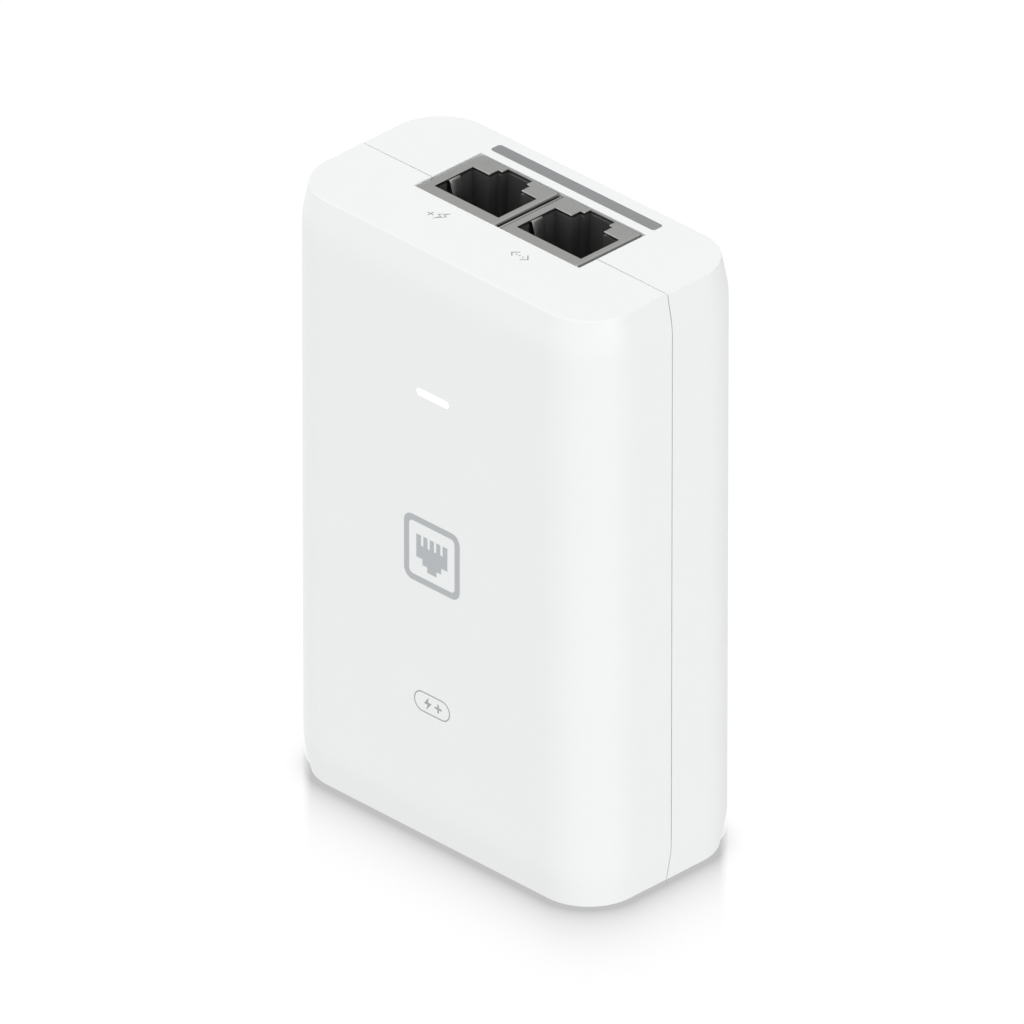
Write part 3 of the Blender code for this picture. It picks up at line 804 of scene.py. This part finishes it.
def printed(name, face, outline, material, holes=()):
    """A print on a face, given as (axis, level, outward sign), with holes through it."""
    axis, level, outward = face
    ends = sorted((level - outward * INK_SINK, level + outward * INK_THICK))
    bm = prism(outline, axis, *ends)
    if holes:
        tools = [prism(hole, axis, level - PAST, level + PAST) for hole in holes]
        bm = carved(bm, [("DIFFERENCE", tool) for tool in tools])
    piece(name, bm, material)


def printed_set(name, face, outlines, material):
    for number, outline in enumerate(outlines, 1):
        printed(name + "_" + str(number), face, outline, material)


def top_prints():
    """The strip behind the ports, and the power and data signs in front of them."""
    strip = rounded_rectangle(STRIP_HALF, STRIP_CORNER, 6, STRIP_CENTRE)
    printed("print_strip", ON_TOP, strip, STRIP_INK)
    printed("print_power_plus", ON_TOP, plus_sign(*ICON_PLUS), ICON_INK)
    bolt, hollow = offset(ICON_BOLT, BOLT_LINE / 2), offset(ICON_BOLT, -BOLT_LINE / 2)
    printed("print_power_bolt", ON_TOP, bolt, ICON_INK, [hollow])
    arrows = [stroke(path, ARROW_LINE) for path in ARROWS]
    printed_set("print_data_arrow", ON_TOP, arrows, ICON_INK)
    printed_set("print_data_dot", ON_TOP, [disc(dot, DOT_RADIUS, 16) for dot in DOTS], ICON_INK)


def socket_mark():
    """A plain network socket sign: a rounded frame round a jack with its contacts."""
    outer = rounded_rectangle(*MARK_OUTER, MARK_CENTRE)
    inner = rounded_rectangle(*MARK_INNER, MARK_CENTRE)
    printed("print_mark_frame", ON_FRONT, outer, MARK_INK, [inner])
    jack = list(JACK_LEFT) + [(-x, z) for x, z in reversed(JACK_LEFT)]
    middle_x, middle_z = MARK_CENTRE
    slots = [
        rectangle(
            (middle_x + x - JACK_SLOT_HALF, middle_z + JACK_SLOT_Z[0]),
            (middle_x + x + JACK_SLOT_HALF, middle_z + JACK_SLOT_Z[1]),
        )
        for x in JACK_SLOTS
    ]
    printed("print_mark_jack", ON_FRONT, moved(jack, MARK_CENTRE), MARK_INK, slots)


def badge():
    """A pill outline round a bolt and a plus sign."""
    length, height = BADGE_SIZE
    rim = stadium(length, height, BADGE_CENTRE)
    hollow = stadium(length - BADGE_LINE, height - BADGE_LINE, BADGE_CENTRE)
    printed("print_badge_rim", ON_FRONT, rim, BADGE_INK, [hollow])
    bolt = moved(BADGE_BOLT, (BADGE_CENTRE[0] + BADGE_BOLT_X, BADGE_CENTRE[1]))
    printed("print_badge_bolt", ON_FRONT, bolt, BADGE_INK)
    printed("print_badge_plus", ON_FRONT, plus_sign(*BADGE_PLUS), BADGE_INK)


top_prints()
socket_mark()
badge()


# ------------------------------------------------------------------ room

# Camera, fitted to the photo: angles in degrees, lens and sensor in millimetres
AZIMUTH = math.radians(45.15)
ELEVATION = math.radians(30.19)
LENS = 1390.0
SENSOR = 36.0
CAMERA_DISTANCE = 5.217
AIM = Vector((-0.05, -0.50, 44.68)) * MM

# Floor: the shadow's depths are shares of the floor's brightness, and the lengths are in metres
FLOOR_HALF = 4.0
FLOOR_DROP = 0.00001
BOUNCE_DROP = 0.00004
FLOOR_WHITE = 0.95
BOUNCE = 0.86
SHADOW_DEPTH = 0.34
SHADOW_FALL = 0.0068
SHADOW_BEHIND = 0.004
SHADOW_SPILL = 0.0002
SHADOW_FADE = 0.0012
CONTACT_DEPTH = 0.165
CONTACT_FALL = 0.0012

KEY_ENERGY = 0.335 * math.pi
KEY_SPREAD = math.radians(35)


def camera():
    back = Vector((
        math.sin(AZIMUTH) * math.cos(ELEVATION),
        -math.cos(AZIMUTH) * math.cos(ELEVATION),
        math.sin(ELEVATION),
    ))
    data = bpy.data.cameras.new("camera")
    data.lens = LENS
    data.sensor_width = SENSOR
    obj = bpy.data.objects.new("camera", data)
    bpy.context.scene.collection.objects.link(obj)
    obj.location = AIM + back * CAMERA_DISTANCE
    obj.rotation_mode = "QUATERNION"
    obj.rotation_quaternion = (-back).to_track_quat("-Z", "Y")
    bpy.context.scene.camera = obj


def spread_plane(name, material, drop):
    """A wide plane just under the object, which casts no shadow."""
    bm = bmesh.new()
    bmesh.ops.create_grid(bm, x_segments=1, y_segments=1, size=FLOOR_HALF)
    mesh = bpy.data.meshes.new(name)
    bm.to_mesh(mesh)
    bm.free()
    mesh.materials.append(material)
    obj = bpy.data.objects.new(name, mesh)
    obj.location.z = -drop
    obj.visible_shadow = False
    bpy.context.scene.collection.objects.link(obj)
    return obj


def calc(tree, operation, *values):
    """A Math node on numbers or sockets."""
    node = tree.nodes.new("ShaderNodeMath")
    node.operation = operation
    for socket, value in zip(node.inputs, values):
        if isinstance(value, (int, float)):
            socket.default_value = value
        else:
            link(tree, value, socket)
    return node.outputs["Value"]


def along(tree, point, direction):
    """How far a point lies along a direction."""
    node = tree.nodes.new("ShaderNodeVectorMath")
    node.operation = "DOT_PRODUCT"
    node.inputs[1].default_value = direction
    link(tree, point, node.inputs[0])
    return node.outputs["Value"]


def at_least_zero(tree, value):
    return calc(tree, "MAXIMUM", value, 0.0)


def fade_out(tree, distance, length):
    """1 at no distance, and falling off over a length."""
    return calc(tree, "EXPONENT", calc(tree, "MULTIPLY", distance, -1 / length))


def half_disc(tree, radius, across):
    """The height of a circle's edge at a distance across from its middle."""
    square = calc(tree, "MULTIPLY", across, across)
    left = calc(tree, "SUBTRACT", radius * radius, square)
    return calc(tree, "SQRT", at_least_zero(tree, left))


def fallen_shadow(tree, point, corner_x, corner_y, radius):
    """A soft shadow to the front right, along one diagonal of the case's footprint.

    It starts at the footprint's edge, which runs round the disc of each corner and straight
    between them. u is measured across the shadow and v along it, from the near corner's disc.
    """
    slant = math.sqrt(0.5)
    fall = Vector((slant, -slant, 0.0))
    across = Vector((slant, slant, 0.0))
    near = Vector((corner_x, -corner_y, 0.0))
    u = calc(tree, "SUBTRACT", along(tree, point, across), near.dot(across))
    v = calc(tree, "SUBTRACT", along(tree, point, fall), near.dot(fall))
    size = calc(tree, "ABSOLUTE", u)
    bend = slant * radius
    near_arc = half_disc(tree, radius, calc(tree, "MINIMUM", size, bend))
    straight = at_least_zero(tree, calc(tree, "SUBTRACT", size, bend))
    edge = calc(tree, "SUBTRACT", near_arc, straight)
    between_sides = 1.0
    for reach, sign in ((2 * corner_x * slant, -1.0), (2 * corner_y * slant, 1.0)):
        outward = calc(tree, "SUBTRACT", calc(tree, "MULTIPLY", u, sign), reach)
        arc_edge = calc(tree, "SUBTRACT", half_disc(tree, radius, outward), reach)
        past = calc(tree, "GREATER_THAN", outward, bend)
        drop = calc(tree, "MULTIPLY", calc(tree, "SUBTRACT", arc_edge, edge), past)
        edge = calc(tree, "ADD", edge, drop)
        inside = calc(tree, "SUBTRACT", radius + SHADOW_SPILL, outward)
        fade = at_least_zero(tree, calc(tree, "MULTIPLY", inside, 1 / SHADOW_FADE))
        fade = calc(tree, "MINIMUM", fade, 1.0)
        between_sides = calc(tree, "MULTIPLY", between_sides, fade)
    distance = at_least_zero(tree, calc(tree, "SUBTRACT", v, edge))
    ahead = calc(tree, "GREATER_THAN", v, calc(tree, "SUBTRACT", edge, SHADOW_BEHIND))
    depth = calc(tree, "MULTIPLY", fade_out(tree, distance, SHADOW_FALL), SHADOW_DEPTH)
    return calc(tree, "MULTIPLY", calc(tree, "MULTIPLY", depth, between_sides), ahead)


def contact_shadow(tree, point, corner_x, corner_y, radius):
    """A narrow dark line all round the case's footprint."""
    squares = []
    for axis, limit in ((Vector((1.0, 0.0, 0.0)), corner_x), (Vector((0.0, 1.0, 0.0)), corner_y)):
        reach = calc(tree, "ABSOLUTE", along(tree, point, axis))
        beyond = at_least_zero(tree, calc(tree, "SUBTRACT", reach, limit))
        squares.append(calc(tree, "MULTIPLY", beyond, beyond))
    gap = calc(tree, "SUBTRACT", calc(tree, "SQRT", calc(tree, "ADD", *squares)), radius)
    line = fade_out(tree, at_least_zero(tree, gap), CONTACT_FALL)
    return calc(tree, "MULTIPLY", line, CONTACT_DEPTH)


def floor():
    """A white floor with the object's shadow drawn on it, and its bounce light on the object."""
    material, tree, shader = new_material("pale_floor")
    point = surface_point(tree)
    radius = CORNER * MM
    corner = (WIDTH / 2 * MM - radius, DEPTH / 2 * MM - radius)
    fallen = fallen_shadow(tree, point, *corner, radius)
    dark = calc(tree, "ADD", fallen, contact_shadow(tree, point, *corner, radius))
    glow = calc(tree, "MULTIPLY", calc(tree, "SUBTRACT", 1.0, dark), FLOOR_WHITE)
    shader.inputs["Base Color"].default_value = BLACKEST
    shader.inputs["Specular IOR Level"].default_value = 0.4
    shader.inputs["Roughness"].default_value = 0.15
    shader.inputs["Emission Color"].default_value = WHITEST
    link(tree, glow, shader.inputs["Emission Strength"])
    seen = spread_plane("floor", material, FLOOR_DROP)
    seen.visible_diffuse = False
    seen.visible_glossy = False
    bounce_material, _, bounce = new_material("floor_bounce")
    bounce.inputs["Base Color"].default_value = BLACKEST
    bounce.inputs["Emission Color"].default_value = WHITEST
    bounce.inputs["Emission Strength"].default_value = BOUNCE
    unseen = spread_plane("floor_bounce", bounce_material, BOUNCE_DROP)
    unseen.visible_camera = False


def toward(turn, rise):
    """A direction, turned to the right from the camera's and raised, in degrees."""
    turn, rise = math.radians(turn), math.radians(rise)
    facing = Vector((math.sin(AZIMUTH), -math.cos(AZIMUTH), 0.0))
    right = Vector((math.cos(AZIMUTH), math.sin(AZIMUTH), 0.0))
    level = facing * math.cos(turn) + right * math.sin(turn)
    return level * math.cos(rise) + Vector((0.0, 0.0, math.sin(rise)))


# Each light area of the sky: its middle, the cosines of the angles from there between which its
# brightness changes, and its brightness at the first and at the second
DOME = (toward(-95, -4), -0.67, -0.2, 0.25, 0.86)
SOFTBOX = (toward(-96, 38), 0.84, 0.96, 0.0, 0.45)
OVERHEAD = (Vector((0.0, 0.0, 1.0)), 0.5, 0.9, 0.0, 0.65)
KEY_FROM = toward(38.5, 8)


def lobe(tree, direction, middle, start, end, low, high):
    """A smooth change of brightness over the sky, about one direction."""
    cosine = along(tree, direction, middle)
    node = tree.nodes.new("ShaderNodeMapRange")
    node.interpolation_type = "SMOOTHSTEP"
    node.inputs["From Min"].default_value = start
    node.inputs["From Max"].default_value = end
    node.inputs["To Min"].default_value = low
    node.inputs["To Max"].default_value = high
    link(tree, cosine, node.inputs["Value"])
    return node.outputs["Result"]


def world():
    """A studio sky, and one broad key light."""
    sky = bpy.data.worlds.new("studio")
    sky.use_nodes = True
    bpy.context.scene.world = sky
    tree = sky.node_tree
    background = tree.nodes["Background"]
    background.inputs["Color"].default_value = WHITEST
    direction = tree.nodes.new("ShaderNodeTexCoord").outputs["Generated"]
    dome, softbox, overhead = [lobe(tree, direction, *area) for area in (DOME, SOFTBOX, OVERHEAD)]
    total = calc(tree, "ADD", calc(tree, "ADD", dome, softbox), overhead)
    link(tree, total, background.inputs["Strength"])
    lamp = bpy.data.lights.new("key", "SUN")
    lamp.energy = KEY_ENERGY
    lamp.angle = KEY_SPREAD
    obj = bpy.data.objects.new("key", lamp)
    obj.rotation_mode = "QUATERNION"
    obj.rotation_quaternion = KEY_FROM.to_track_quat("Z", "Y")
    bpy.context.scene.collection.objects.link(obj)


camera()
floor()
world()
bpy.context.scene.view_settings.view_transform = "Standard"
